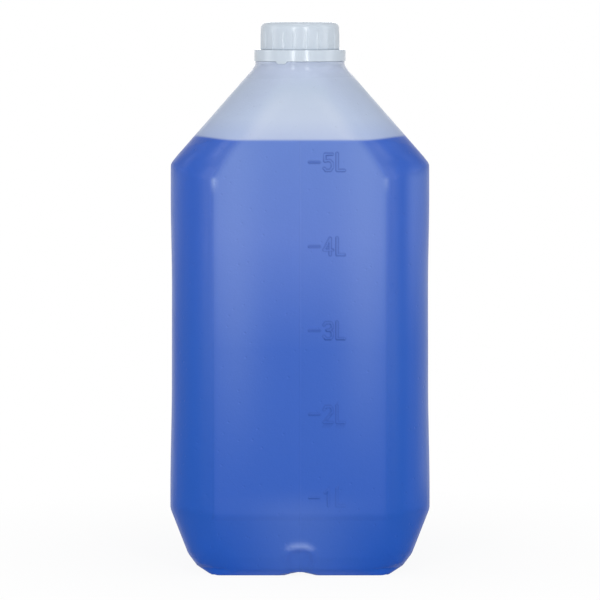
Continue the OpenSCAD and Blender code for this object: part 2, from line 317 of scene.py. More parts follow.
def noiseBump(tree, shader, layers):
    # layers of (scale, detail, strength, depth), each stacked on the one before
    place = addNode(tree, "ShaderNodeTexCoord")
    last = None
    for scale, detail, strength, depth in layers:
        bump = addNode(tree, "ShaderNodeBump", {"Strength": strength, "Distance": depth})
        grain = noiseOver(tree, place, {"Scale": scale, "Detail": detail})
        tree.links.new(grain, bump.inputs["Height"])
        if last:
            tree.links.new(last.outputs["Normal"], bump.inputs["Normal"])
        last = bump
    tree.links.new(last.outputs["Normal"], shader.inputs["Normal"])
    return place


def addPits(tree, shader, place, pits):  # scattered shallow pits, on top of the grain
    scale, reach, strength, depth = pits
    spots = addNode(tree, "ShaderNodeTexVoronoi", {"Scale": scale})
    tree.links.new(place.outputs["Object"], spots.inputs["Vector"])
    bump = addNode(tree, "ShaderNodeBump", {"Strength": strength, "Distance": depth})
    tree.links.new(spread(tree, spots.outputs["Distance"], 0, reach, 0, 1), bump.inputs["Height"])
    tree.links.new(shader.inputs["Normal"].links[0].from_socket, bump.inputs["Normal"])
    tree.links.new(bump.outputs["Normal"], shader.inputs["Normal"])


def patchyRoughness(tree, place, look):  # the middle part of the noise spans the roughness
    return spread(tree, noiseOver(tree, place, look["cloud"]), 0.3, 0.7, *look["roughness"])


plasticLook = {
    "sockets": {"IOR": 1.5, "Specular IOR Level": 0.25},
    "top": 0.290,
    # height, colour on the flats (the fill's blue below and the milky wall above, lighter towards
    # the top of the fill as painted light from above), painted shade colour for the corners,
    # painted light colour, and cover of the wall
    "bands": [
        (0.0012, (0.003, 0.085, 0.480), (0.003, 0.085, 0.480), (0.30, 0.42, 0.80), 1.00),
        (0.0034, (0.004, 0.098, 0.540), (0.004, 0.098, 0.540), (0.30, 0.42, 0.80), 0.80),
        (0.026, (0.018, 0.112, 0.555), (0.012, 0.105, 0.530), (0.30, 0.42, 0.80), 0.80),
        (0.040, (0.034, 0.128, 0.575), (0.014, 0.106, 0.530), (0.30, 0.42, 0.80), 0.80),
        (0.120, (0.045, 0.140, 0.590), (0.020, 0.112, 0.540), (0.30, 0.42, 0.80), 0.80),
        (0.180, (0.122, 0.222, 0.670), (0.030, 0.118, 0.555), (0.30, 0.42, 0.80), 0.80),
        (0.2288, (0.134, 0.242, 0.670), (0.032, 0.120, 0.560), (0.30, 0.42, 0.80), 0.80),
        (0.2300, (0.530, 0.625, 0.880), (0.480, 0.585, 0.850), (0.84, 0.90, 1.00), 0.70),
        (0.2400, (0.610, 0.705, 0.890), (0.570, 0.670, 0.870), (0.86, 0.92, 1.00), 0.70),
        (0.2550, (0.590, 0.690, 0.850), (0.580, 0.670, 0.850), (0.86, 0.92, 1.00), 0.70),
        (0.2640, (0.600, 0.685, 0.870), (0.590, 0.675, 0.860), (0.86, 0.92, 1.00), 0.70),
        (0.290, (0.620, 0.700, 0.860), (0.620, 0.700, 0.860), (0.86, 0.92, 1.00), 0.70),
    ],
    "roughness": (0.34, 0.44), "cloud": {"Scale": 18, "Detail": 3},
    "polish": (0.258, 0.265, 1, 0.30),  # the collar is smoother
    # colour and strength of the painted shade round the raised marks
    "markShadeColour": (0.020, 0.070, 0.360), "markShadeDepth": 0.75,
    "grain": [(900, 2, 0.25, 0.0004), (260, 3, 0.2, 0.0006)],
    "pits": (190, 0.15, 0.5, 0.0005),
}


def milkyPlastic(look):
    material, tree, shader = newMaterial("milkyPolyethylene", look["sockets"])
    place = noiseBump(tree, shader, look["grain"])
    addPits(tree, shader, place, look["pits"])
    height = heightOf(tree, place)

    def shade(name):
        return addNode(tree, "ShaderNodeAttribute", attribute_name=name).outputs["Fac"]

    level = combine(tree, "SUBTRACT", height, shade("lineRise"))
    level = spread(tree, level, 0, look["top"], 0, 1)
    ramps = []
    for part in range(1, 5):
        ramp = addNode(tree, "ShaderNodeValToRGB")
        elements = ramp.color_ramp.elements
        while len(elements) < len(look["bands"]):
            elements.new(0.5)
        for element, band in zip(elements, look["bands"]):
            element.position = band[0] / look["top"]
            value = band[part]
            element.color = (*value, 1) if part < 4 else (value, value, value, 1)
        tree.links.new(level, ramp.inputs[0])
        ramps.append(ramp.outputs["Color"])
    flats, shadedColour, litColour, cover = ramps
    # painted shade darkens the corners beside the panel
    paint = blend(tree, shade("cornerShadePaint"), flats, shadedColour)
    # painted light whitens the wall where highlights, glints and sheen fall
    paint = blend(tree, shade("thickness"), paint, litColour)
    # painted shade round the raised marks' edges
    strokeShade = spread(tree, shade("markShade"), 0, 1, 0, look["markShadeDepth"])
    paint = blend(tree, strokeShade, paint, (*look["markShadeColour"], 1))
    polish = spread(tree, height, *look["polish"])
    rough = combine(tree, "MULTIPLY", patchyRoughness(tree, place, look), polish)
    tree.links.new(rough, shader.inputs["Roughness"])
    tree.links.new(paint, shader.inputs["Base Color"])
    tree.links.new(cover, shader.inputs["Alpha"])
    return material


hdpe = milkyPlastic(plasticLook)

cleanerLook = {"sockets": {"Roughness": 0.12, "IOR": 1.34}, "deep": (0.020, 0.075, 0.520),
               "light": (0.035, 0.110, 0.620), "fadeHeights": (0.02, 0.22),
               "swirl": {"Scale": 9, "Detail": 2}, "swirlShare": 0.12}


def blueCleaner(look):
    material, tree, shader = newMaterial("blueCleaner", look["sockets"])
    place = addNode(tree, "ShaderNodeTexCoord")
    # darker towards the bottom, lighter towards the top, with a little random swirl
    height = spread(tree, heightOf(tree, place), *look["fadeHeights"], 0, 1)
    drift = addNode(tree, "ShaderNodeMath", {1: look["swirlShare"]}, operation="MULTIPLY_ADD")
    tree.links.new(noiseOver(tree, place, look["swirl"]), drift.inputs[0])
    tree.links.new(height, drift.inputs[2])
    tone = addNode(tree, "ShaderNodeValToRGB")
    for element, colour in zip(tone.color_ramp.elements, (look["deep"], look["light"])):
        element.color = (*colour, 1)
    tree.links.new(drift.outputs[0], tone.inputs[0])
    tree.links.new(tone.outputs["Color"], shader.inputs["Base Color"])
    return material


cleaner = blueCleaner(cleanerLook)

capLook = {"colour": (0.57, 0.64, 0.72, 1), "roughness": (0.17, 0.24),
           "grain": [(500, 2, 0.12, 0.0003)], "cloud": {"Scale": 60, "Detail": 3}}
foamLook = {**capLook, "colour": (0.8, 0.81, 0.82, 1), "roughness": (0.7, 0.9)}


def capPlastic(name, look):
    material, tree, shader = newMaterial(name, {"IOR": 1.5, "Base Color": look["colour"]})
    place = noiseBump(tree, shader, look["grain"])
    tree.links.new(patchyRoughness(tree, place, look), shader.inputs["Roughness"])
    return material


capMaterial = capPlastic("capPolypropylene", capLook)
foamMaterial = capPlastic("wadFoam", foamLook)
print("materials made")


jug = {
    "wall": 0.0013,
    "frontY": -0.0907, "backY": 0.0917, "neckY": -0.0470,
    # half width of the front's outline against height, with the rounding of each corner
    "side": [(0.0352, -0.0060), (0.0545, 0.0038), (0.0592, 0.0102), (0.0685, 0.0342),
             (0.0677, 0.2163), (0.0164, 0.2750)],
    "sideRounding": [0.003, 0.0035, 0.006, 0.0032],
    # how far each level is drawn in at the front and the back
    "heelInset": [(0.0144, -0.0060), (0.0072, 0.0038), (0.0052, 0.0102), (0.0, 0.0342)],
    "frontTop": [(0.0, 0.2295), (0.0271, 0.2750)],
    "frontRounding": [0.003, 0.0035, 0.006, 0.0035],
    "backTop": [(0.0, 0.2163), (0.0644, 0.2900)],
    "backRounding": [0.003, 0.0035, 0.006, 0.004],
    "cornerR": [(0, 0.004), (0.0038, 0.012), (0.0102, 0.016), (0.0342, 0.022), (0.2295, 0.022),
                (0.2668, 0.0236)],
    # from, to and amount: turns a sloping wall's distance into a level one
    "sideStretch": (0.2143, 0.2223, 0.328), "frontStretch": (0.226, 0.234, 0.164),
    "deckZ": 0.2209, "deckFall": 0.0062, "towerFootY": -0.0054, "towerLean": 0.392,
    "deckFillet": 0.009, "deckEdge": 0.005, "towerEdge": (0.226, 0.242, 0.0186),
    "grooveHalf": 0.0105, "grooveRise": 0.0018, "grooveEdge": 0.0003,
    # the arch that the pinch-off leaves on the heel, its rib and the dent inside it
    "archHalf": 0.0096, "archFootZ": 0.0060, "archRise": 0.0122, "archPower": 2.5,
    "ribOut": 0.0010, "ribAt": (0.80, 0.16), "ribZ": (0.006, 0.013), "ribY": (0.05, 0.06),
    "dent": (0.80, 0.45, 0.6),
    "flankSink": 0.0007, "sinkX": (0.055, 0.066), "sinkZ": (0.045, 0.1, 0.15, 0.2),
    "collarR": 0.0236, "collarFootZ": 0.2540, "collarFillet": 0.0007,
    "collarSweep": (0.2684, 0.2660, 0.0018), "cut": 0.2684, "innerCut": 0.2650,
    "panel": [(0.0457, 0.0312), (0.0457, 0.2098), (0.0326, 0.2290), (-0.01, 0.2290)],
    "panelOut": 0.00045, "panelStep": (0.0006, -0.0012), "panelY": (-0.060, -0.064),
    "panelFootShare": 0.6,
    "partingOut": 0.00009, "partingHalf": 0.0004, "partingZ": (0.235, 0.228), "partingY": 0.085,
    "lineRise": (0.032, 0.054, 0.0016),  # the fill line looks higher towards the sides
}
handle = {"half": 0.014, "thick": 0.0105, "rounding": 0.0094, "frontY": -0.041, "z": 0.2568,
          "tilt": 0.001, "backY": 0.0792, "bend": 0.020, "rootZ": 0.2129,
          "backFillet": 0.00065, "rootFillet": (0.0870, 0.0780, 0.00585)}
marks = {"first": 0.0428, "step": 0.0438, "count": 5, "figure": 0.0096, "stroke": 0.0012,
         # places in heights of a figure
         "dash": (0.5, 1.05), "dashShadeReach": 1.15, "digitAt": 1.3, "letterAt": 2.0,
         "out": 0.0004, "edge": (0.62, 0.2), "zoneY": -0.088, "zoneX": (0.003, 0.025),
         # where the painted shade round the strokes sits, and how strong it is on the dashes and
         # on low and high marks
         "shadeAt": (0.00065, 0.00025), "dashShade": 0.6, "lowShade": 0.4, "highShade": (0.05, 0.12, 0.6)}
neckAxis = (0, jug["neckY"])


def outlinePlanes(spec):
    front, back = -spec["frontY"], spec["backY"]
    lower = spec["heelInset"]
    return (
        wallPlanes(softenLine(spec["side"], spec["sideRounding"])),
        wallPlanes(softenLine([(front - i, z) for i, z in lower + spec["frontTop"]],
                              spec["frontRounding"])),
        wallPlanes(softenLine([(back - i, z) for i, z in lower + spec["backTop"]],
                              spec["backRounding"])),
    )


sidePlanes, frontPlanes, backPlanes = outlinePlanes(jug)
panelPlanes = wallPlanes(jug["panel"])


def figureStrokes(n):  # on a grid of two by four, from the lower left corner
    return {
        1: [[(1.1, 4), (1.1, 0)], [(0.2, 3.2), (1.1, 3.9)]],
        2: [[(0, 3.2), (0.4, 4), (1.6, 4), (2, 3.2), (2, 2.5), (0.1, 0.1)], [(0, 0), (2.1, 0)]],
        3: [[(0, 3.4), (0.4, 4), (1.6, 4), (2, 3.4), (2, 2.7), (1.4, 2.15)],
            [(0.7, 2.1), (1.5, 2.1), (2, 1.6), (2, 0.6), (1.6, 0), (0.4, 0), (0, 0.6)]],
        4: [[(1.5, 0), (1.5, 4.1)], [(1.45, 4), (0.05, 1.25)], [(0, 1.2), (2.1, 1.2)]],
        5: [[(2, 4), (0.25, 4), (0.15, 2.3), (1.4, 2.45), (2, 1.8), (2, 0.7), (1.5, 0),
             (0.4, 0), (0, 0.5)]],
    }[n]


letterStrokes = [[(0, 4.2), (0, 0), (1.8, 0)]]
markHeights = [marks["first"] + n * marks["step"] for n in range(marks["count"])]


def markStretches():  # every straight stretch of the litre marks, as pairs of (x, z)
    size, cell = marks["figure"], (marks["figure"] - marks["stroke"]) / 4
    stretches = []
    for n, middle in enumerate(markHeights, 1):
        stretches.append(tuple((size * k, middle) for k in marks["dash"]))
        for left, lines in ((marks["digitAt"], figureStrokes(n)),
                            (marks["letterAt"], letterStrokes)):
            for line in lines:
                spots = [(size * left + u * cell, middle + (v - 2) * cell) for u, v in line]
                stretches += list(zip(spots[:-1], spots[1:]))
    return stretches


strokeLines = markStretches()


def nearMarks(x, y):
    low, high = marks["zoneX"]
    return (y < marks["zoneY"]) & (x > low) & (x < high)


def pinchArch(ax, z):  # 1 along the arch over the pinch-off's end, less inside it
    power = jug["archPower"]
    up = np.maximum(z - jug["archFootZ"], 0) / jug["archRise"]
    return ((ax / jug["archHalf"]) ** power + up ** power) ** (1 / power)


def bodyField(x, y, z):  # the whole outer form, without panel, marks and parting line
    ax = np.abs(x)
    side = overPlanes(sidePlanes, ax, z) * (1 + gain(z, jug["sideStretch"]))
    front = overPlanes(frontPlanes, -y, z) * (1 + gain(z, jug["frontStretch"]))
    depth = np.maximum(front, overPlanes(backPlanes, y, z))
    form = roundMax(side, depth, np.interp(z, *zip(*jug["cornerR"])))
    deck = z - jug["deckZ"] + jug["deckFall"] * (y - jug["towerFootY"])
    towerBack = y - jug["towerFootY"] + (z - jug["deckZ"]) * jug["towerLean"]
    top = roundMin(deck, towerBack, jug["deckFillet"])
    form = roundMax(form, top, jug["deckEdge"] + gain(z, jug["towerEdge"]))
    arch = pinchArch(ax, z)
    rib = bell(arch, *jug["ribAt"]) * smoothStep(*jug["ribZ"], z)
    pinch = (rib - gain(arch, jug["dent"])) * smoothStep(*jug["ribY"], np.abs(y))
    form = form - jug["ribOut"] * pinch
    roof = jug["grooveRise"] * smoothStep(1, 0, ax / jug["grooveHalf"])
    form = roundMax(form, roof - z, jug["grooveEdge"])
    sink = hill(z, *jug["sinkZ"]) * smoothStep(*jug["sinkX"], ax)
    form = form + jug["flankSink"] * sink
    collar = np.maximum(np.hypot(x, y - jug["neckY"]) - jug["collarR"], jug["collarFootZ"] - z)
    form = roundMin(form, collar, jug["collarFillet"] + gain(z, jug["collarSweep"]))
    fillet = handle["backFillet"] + gain(y, handle["rootFillet"])
    return roundMin(form, handleField(x, y, z), fillet)


def handleField(x, y, z):
    bend, backY, top = handle["bend"], handle["backY"], handle["z"]
    cy, cz = backY - bend, top - bend
    gap = np.minimum(
        lineGap(y, z, (handle["frontY"], top - handle["tilt"]), (jug["towerFootY"], top)),
        lineGap(y, z, (jug["towerFootY"], top), (cy, top)))
    gap = np.minimum(gap, lineGap(y, z, (backY, cz), (backY, handle["rootZ"])))
    arc = np.where((y > cy) & (z > cz), np.abs(np.hypot(y - cy, z - cz) - bend), 1.0)
    gap = np.minimum(gap, arc)
    r = handle["rounding"]
    qa, qb = np.abs(x) - handle["half"] + r, gap - handle["thick"] + r
    outside = np.sqrt(np.maximum(qa, 0) ** 2 + np.maximum(qb, 0) ** 2)
    return outside + np.minimum(np.maximum(qa, qb), 0) - r


def skinField(x, y, z):  # the outer form with its fine relief
    form = bodyField(x, y, z)
    foot = (jug["panel"][0][1] - z) * jug["panelFootShare"]
    panel = np.maximum(overPlanes(panelPlanes, np.abs(x), z), foot)
    raised = smoothStep(*jug["panelStep"], panel) * smoothStep(*jug["panelY"], y)
    form = form - jug["panelOut"] * raised
    parting = bell(x, 0, jug["partingHalf"]) * smoothStep(*jug["partingZ"], z)
    form = form - jug["partingOut"] * parting * (y < jug["partingY"])
    near = nearMarks(x, y)
    if near.any():
        gap = np.full(near.sum(), 1.0)
        for a, b in strokeLines:
            gap = np.minimum(gap, lineGap(x[near], z[near], a, b))
        foot, crest = (marks["stroke"] * share for share in marks["edge"])
        lift = np.zeros(x.shape)
        lift[near] = marks["out"] * smoothStep(foot, crest, gap)
        form = form - lift
    return form


def innerField(x, y, z):
    return bodyField(x, y, z) + jug["wall"]


# where the painted shade on the corners sits, where it lifts towards the outer edges, and where it
# fades at the ends and the foot
cornerShadeLook = {"clearLeft": 0.0600, "clearRight": 0.0525, "clearWidth": 0.007, "clearShare": 0.75,
            "clearZ": (0.2180, 0.2080), "beside": (-0.0038, 0.0020), "endsY": (0.055, 0.075),
            "footZ": (0.010, 0.036)}


def paintedCornerShade(x, y, z):
    # painted shade: the corners beside the panel are drawn darker, and lighter again towards the
    # outer edges below the shoulders
    ax = np.abs(x)
    rim = np.where(x > 0, cornerShadeLook["clearRight"], cornerShadeLook["clearLeft"])
    clear = smoothStep(rim, rim + cornerShadeLook["clearWidth"], ax) * smoothStep(*cornerShadeLook["clearZ"], z)
    beside = smoothStep(*cornerShadeLook["beside"], overPlanes(panelPlanes[:-1], ax, z))
    beside = beside * (1 - cornerShadeLook["clearShare"] * clear)
    return beside * smoothStep(*cornerShadeLook["endsY"], np.abs(y)) * smoothStep(*cornerShadeLook["footZ"], z)


# painted light: highlights, glints, sheen and lit edges whiten the front of the wall
paintedLightLook = {
    "frontY": (-0.040, -0.060),
    # shares of the painted light: a glow on the heel, the highlight over the pinch-off's arch,
    # sheen bands beside the panel's middle, glints at its upper corners, and the lit tower
    "shares": (0.17, 0.50, 0.20, 0.80, 0.17),
    "heelHalf": 0.028, "heelZ": (0.050, 0.030),
    "pinchAt": (0.86, 0.16), "pinchZ": (0.0135, 0.0160),
    "sidesAt": (0.034, 0.013), "sidesZ": (0.040, 0.150, 0.222, 0.236),
    "glintAt": (0.0446, 0.2085), "glintR": 0.0014, "glintTail": 0.35, "glintRight": 0.5,
    "towerZ": (0.2290, 0.2310, 0.2470, 0.2590), "towerBlur": 0.0045,
    "towerHalf": [(0.2295, 0.0280), (0.2337, 0.0245), (0.2423, 0.0192), (0.2500, 0.0130),
                  (0.2612, 0.0020)],
    "towerRim": 0.4, "towerRimIn": 0.002, "towerRimWidth": 0.004,
    # painted light on the outermost edges: where it starts right and left, and where it is full
    "edgeFrom": (0.0590, 0.0640), "edgeTo": 0.0682, "edgeZ": (0.030, 0.060, 0.2150, 0.2300),
    "edgeY": (-0.0625, -0.0700), "edgeShare": 0.30, "edgeFade": (0.150, 0.200, 0.20),
}


def paintedLightShare(x, y, z):  # painted light: highlights, glints and sheen laid into the wall's colour
    ax, look = np.abs(x), paintedLightLook
    heel = bell(x, 0, look["heelHalf"]) * smoothStep(*look["heelZ"], z)
    pinch = bell(pinchArch(ax, z), *look["pinchAt"]) * smoothStep(*look["pinchZ"], z)
    sides = bell(ax, *look["sidesAt"]) * hill(z, *look["sidesZ"])
    cornerX, cornerZ = look["glintAt"]
    up = (z - cornerZ) * np.where(z < cornerZ, look["glintTail"], 1)
    glint = bell(np.hypot(ax - cornerX, up), 0, look["glintR"])
    glint = glint * np.where(x < 0, 1, look["glintRight"])
    half, blur = np.interp(z, *zip(*look["towerHalf"])), look["towerBlur"]
    tower = look["towerRim"] * bell(ax, half - look["towerRimIn"], look["towerRimWidth"])
    tower = (tower + smoothStep(blur, -blur, ax - half)) * hill(z, *look["towerZ"])
    edge = smoothStep(np.where(x > 0, *look["edgeFrom"]), look["edgeTo"], ax)
    edge = edge * hill(z, *look["edgeZ"]) * smoothStep(*look["edgeY"], y)
    edge = edge * (look["edgeShare"] - gain(z, look["edgeFade"]))
    spots = zip(look["shares"], (heel, pinch, sides, glint, tower))
    return smoothStep(*look["frontY"], y) * (sum(share * spot for share, spot in spots) + edge)


def markShade(x, y, z):  # painted shade round the raised strokes' edges, and all over the dashes
    shade = np.zeros(x.shape)
    near = nearMarks(x, y)
    nx, nz = x[near], z[near]
    gap = np.full(nx.shape, 1.0)
    dashEnd, dashShadeEnd = marks["figure"] * marks["dash"][1], marks["figure"] * marks["dashShadeReach"]
    for a, b in strokeLines:
        away = lineGap(nx, nz, a, b)
        if a[0] < dashEnd:
            away = np.maximum(away, marks["shadeAt"][0])
        gap = np.minimum(gap, away)
    strokeShade = np.where(nx < dashShadeEnd, marks["dashShade"], 1)
    shade[near] = strokeShade * bell(gap, *marks["shadeAt"]) * (marks["lowShade"] + gain(nz, marks["highShade"]))
    return shade


def addShade(piece, name, values):
    piece.data.attributes.new(name, "FLOAT", "POINT").data.foreach_set("value", values)


jugGrid = {
    "x": [(0, 0.0003), (0.0009, 0.0008), (0.0025, 0.0023), (0.0240, 0.0017), (0.0442, 0.0004),
          (0.0466, 0.0012), (0.0502, 0.0020), (0.0705, 0)],
    "y": [(-0.0940, 0.0018), (-0.0850, 0.0028), (0.0830, 0.0018), (0.0946, 0)],
    "z": [(-0.0025, 0.0009), (0.0130, 0.0014), (0.0200, 0.0022), (0.0299, 0.0005),
          (0.0334, 0.0026), (0.2080, 0.0012), (0.2330, 0.0021), (0.2594, 0.0010), (0.2694, 0)],
    # the faces that are split further, as y below, x between, reach and cuts
    "marks": (-0.0895, 0.0030, 0.0247, 0.0060, 5),
    "panelCorner": (-0.084, 0.031, 0.047, 0.0016, 2),
}
insideGrid = {
    "x": [(0, 0.0036), (0.0500, 0.0030), (0.0690, 0)],
    "y": [(-0.0925, 0.0030), (-0.0700, 0.0036), (0.0930, 0)],
    "z": [(-0.0010, 0.0026), (0.0300, 0.0036), (0.2100, 0.0026), (0.2360, 0.0030),
          (0.2635, 0.0030), (0.2665, 0)],
}


def fieldNet(grid, field):  # the last value tells which points are in the top layer
    xs, ys, zs = bothSides(ruler(grid["x"])), ruler(grid["y"]), ruler(grid["z"])
    values = field(xs[:, None, None], ys[None, :, None], zs[None, None, :])
    points, quads, cells = surfaceNet(xs, ys, zs, values)
    return points, quads, cells[:, 2] == len(zs) - 2


def refineFaces(mesh, chosen, cuts):  # splits the chosen faces, and keeps the mesh joined
    work = bmesh.new()
    work.from_mesh(mesh)
    faces = [f for f in work.faces if chosen(f.calc_center_median())]
    edges = list({e for f in faces for e in f.edges})
    bmesh.ops.subdivide_edges(work, edges=edges, cuts=cuts, use_grid_fill=True)
    work.to_mesh(mesh)
    work.free()


def makeSkin():  # points, normals and faces of the outside, and its open upper ring
    points, quads, rim = fieldNet(jugGrid, bodyField)
    points[rim, 2] = jug["cut"]
    points, _ = settle(points, bodyField, flat=rim)
    print("jug skin", len(points), "points", len(quads), "faces")

    mesh = bpy.data.meshes.new("skinDraft")
    mesh.from_pydata(points.tolist(), [], quads.tolist())
    y, left, right, reach, cuts = jugGrid["marks"]
    refineFaces(mesh, lambda c: c.y < y and left < c.x < right
                and any(abs(c.z - z) < reach for z in markHeights), cuts)
    y, left, right, reach, cuts = jugGrid["panelCorner"]
    corner = jug["panel"][1:3]
    refineFaces(mesh, lambda c: c.y < y and left < abs(c.x) < right
                and lineGap(abs(c.x), c.z, *corner) < reach, cuts)
    points = np.zeros(len(mesh.vertices) * 3)
    mesh.vertices.foreach_get("co", points)
    points = points.reshape(-1, 3)
    faces = [tuple(p.vertices) for p in mesh.polygons]
    bpy.data.meshes.remove(mesh)
    rim = np.abs(points[:, 2] - jug["cut"]) < 1e-7
    points, normals = settle(points, skinField, step=0.00012, flat=rim)
    print("jug skin refined", len(points), "points")
    return points, normals, faces, list(np.nonzero(rim)[0])


def makeInside():
    points, quads, rim = fieldNet(insideGrid, innerField)
    points[rim, 2] = jug["innerCut"]
    points, normals = settle(points, innerField, flat=rim)
    print("jug inside", len(points), "points")
    return points, -normals, quads[:, ::-1], np.nonzero(rim)[0]


thread = {"pitch": 0.005, "depth": 0.00115, "rootHalf": 0.00105, "crestHalf": 0.00035}


def threadRidge(turns, startZ, startAngle):
    def ridge(angle, z):  # how far the thread stands out at (angle, height)
        total = np.zeros(angle.shape)
        for lap in range(-1, 3):
            turn = (angle - startAngle) / (2 * math.pi) + lap
            away = np.abs(z - startZ - thread["pitch"] * turn)
            flank = smoothStep(thread["rootHalf"], thread["crestHalf"], away)
            total = np.maximum(total, flank * hill(turn, -0.02, 0.03, turns - 0.03, turns + 0.02))
        return thread["depth"] * total
    return ridge


neck = {"r": 0.0180, "bore": 0.0164, "top": 0.2880, "shelfZ": 0.2694, "shelfIn": 0.0210,
        "underZ": 0.2681, "beadZ": 0.2723, "beadOut": 0.0013, "beadHalf": (0.0013, 0.0001),
        "beadRows": (0.2711, 0.2737, 0.0002), "threadRows": (0.2744, 0.28745, 0.00026),
        "boreRows": (0.2860, 0.2698, -0.0022), "thread": (1.5, 0.27845, 0), "segments": 120}


def neckProfile():  # from the collar up the outside, over the rim and down the bore
    r, bore, top, shelf, under = (neck[k] for k in ("r", "bore", "top", "shelfZ", "underZ"))
    collar = jug["collarR"]
    beadZs = np.arange(*neck["beadRows"])
    bead = neck["beadOut"] * smoothStep(*neck["beadHalf"], np.abs(beadZs - neck["beadZ"]))
    return (
        [(collar, shelf - 0.0006), (collar, shelf - 0.0002), (collar - 0.00006, shelf - 0.00005),
         (collar - 0.0002, shelf), (neck["shelfIn"], shelf), (r + 0.0008, shelf),
         (r + 0.0003, shelf + 0.00015), (r + 0.00005, shelf + 0.0005), (r, shelf + 0.0010),
         (r, shelf + 0.0015)]
        + list(zip(r + bead, beadZs))
        + [(r, z) for z in np.arange(*neck["threadRows"])]
        + [(r - 0.00005, top - 0.00032), (r - 0.0002, top - 0.00012), (r - 0.0005, top),
           (bore + 0.0005, top), (bore + 0.0002, top - 0.00007), (bore + 0.00005, top - 0.00022),
           (bore, top - 0.0005)]
        + [(bore, z) for z in np.arange(*neck["boreRows"])]
        + [(bore, under + 0.0010), (bore + 0.00015, under + 0.00045),
           (bore + 0.0005, under + 0.0001), (bore + 0.0010, under), (0.0192, under),
           (0.0207, under - 0.0001), (0.0212, under - 0.00035), (0.0216, under - 0.0009),
           (0.0220, under - 0.0016)]
    )


def makeJug():
    points, normals, faces, outerRing = makeSkin()
    inner, innerNormals, innerQuads, innerRing = makeInside()
    ridge = threadRidge(*neck["thread"])
    low, high, _ = neck["threadRows"]

    def bend(turn, rs, zs):
        if low - 0.0002 < zs[0] < high + 0.00005 and rs[0] > neck["r"] - 0.0005:
            rs = rs + ridge(turn, zs)
        return rs, zs

    neckPoints, neckFaces, neckRows = spin(neckProfile(), neck["segments"], neckAxis, bend)
    innerBase = len(points)
    neckBase = innerBase + len(inner)
    faces += [tuple(int(innerBase + k) for k in q) for q in innerQuads]
    faces += [tuple(neckBase + k for k in f) for f in neckFaces]
    allPoints = np.concatenate([points, inner, np.array(neckPoints)])
    first, last = ([neckBase + k for k in neckRows[row]] for row in (0, -1))
    faces += zipLoops(allPoints, outerRing, first, neckAxis)
    faces += zipLoops(allPoints, last, [innerBase + k for k in innerRing], neckAxis)
    allNormals = np.concatenate([normals, innerNormals, np.zeros((len(neckPoints), 3))])
    piece = makePiece("JugSkin", allPoints, faces, hdpe, allNormals)
    x, y, z = allPoints.T
    addShade(piece, "cornerShadePaint", paintedCornerShade(x, y, z))
    addShade(piece, "thickness", paintedLightShare(x, y, z))
    addShade(piece, "markShade", markShade(x, y, z))
    addShade(piece, "lineRise", gain(np.abs(x), jug["lineRise"]))
    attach(piece, "jug")
    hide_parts("jug_body")


makeJug()
print("jug made")


fill = {"level": 0.2298, "gap": 0.00008, "climb": 0.0009, "reach": 0.0016, "edgeR": 0.0003}
fillGrid = {
    "x": [(0, 0.0036), (0.0480, 0.0026), (0.0700, 0)],
    "y": [(-0.0925, 0.0026), (-0.0700, 0.0036), (0.0930, 0)],
    "z": [(-0.0010, 0.0026), (0.0300, 0.0036), (0.2100, 0.0024), (0.2270, 0.0006), (0.2320, 0)],
}


def cleanerField(x, y, z):
    inside = innerField(x, y, z) + fill["gap"]
    climb = fill["climb"] * (np.exp(np.minimum(inside, 0) / fill["reach"]) - 1)
    return roundMax(inside, z - fill["level"] - climb, fill["edgeR"])


def makeCleaner():
    points, quads, _ = fieldNet(fillGrid, cleanerField)
    points, _ = settle(points, cleanerField)
    piece = makePiece("CleanerFill", points, quads.tolist(), cleaner)
    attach(piece, "jug")
    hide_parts("glass_cleaner")


makeCleaner()
print("cleaner made")


band = {"bottom": 0.2694, "top": 0.2756, "outer": 0.02415, "inner": 0.02285, "hook": 0.0184,
        "hole": 0.01955, "flange": 0.0013, "skirtGap": 0.0001, "hookThick": 0.0011,
        "tabWidth": 0.006, "tabDrop": 0.0013, "tabInner": 0.0237, "tabAngle": -24,
        "recess": 0.0002, "edgeR": 0.0003, "edgeZone": 0.0004, "stepR": 0.0001,
        "segments": 288}


def bandProfile():
    low, high, outer, r = band["bottom"], band["top"], band["outer"], band["edgeR"]
    skirt, under, hook = low + band["skirtGap"], high - band["flange"], low + band["hookThick"]
    relief = band["inner"] - band["recess"]
    corners = [
        (band["hook"], low, r), (band["inner"], low, band["stepR"]),
        (band["inner"], skirt, band["stepR"]), (band["tabInner"], skirt, 0),
        (outer, skirt, r), (outer, high, r), (band["hole"], high, r), (band["hole"], under, r),
        (relief, under, r), (relief, hook, r), (band["hook"], hook, r)]
    spots = [(a, b) for a, b, _ in corners]
    ring = [spots[-1], *spots, spots[0]]
    profile = []
    for i, (_, _, radius) in enumerate(corners):
        profile += softenLine(ring[i:i + 3], [radius], 5)[1:-1]
    wallZ = skirt + band["edgeZone"]
    wallStart = next(k for k, p in enumerate(profile) if p[0] > outer - 1e-6 and p[1] > wallZ)
    profile[wallStart:wallStart] = [(outer, z) for z in
                                    np.linspace(skirt + 2 * r, high - 3 * r, 6)]
    return profile


def makeBand():
    skirt, half = band["bottom"] + band["skirtGap"], band["tabWidth"] / 2
    middle = math.radians(-90 + band["tabAngle"])

    def bend(turn, rs, zs):
        if zs[0] < skirt + band["edgeZone"] and rs[0] > band["tabInner"] - 0.0002:
            away = np.abs((turn - middle + math.pi) % (2 * math.pi) - math.pi) * band["outer"]
            zs = zs - gain(away, (half + 0.0002, half - 0.0008, band["tabDrop"]))
        return rs, zs

    points, faces, _ = spin(bandProfile(), band["segments"], neckAxis, bend, closed=True)
    piece = makePiece("TamperBand", points, [f[::-1] for f in faces], capMaterial)
    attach(piece, "jug")
    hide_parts("tamper_ring")


makeBand()
print("band made")


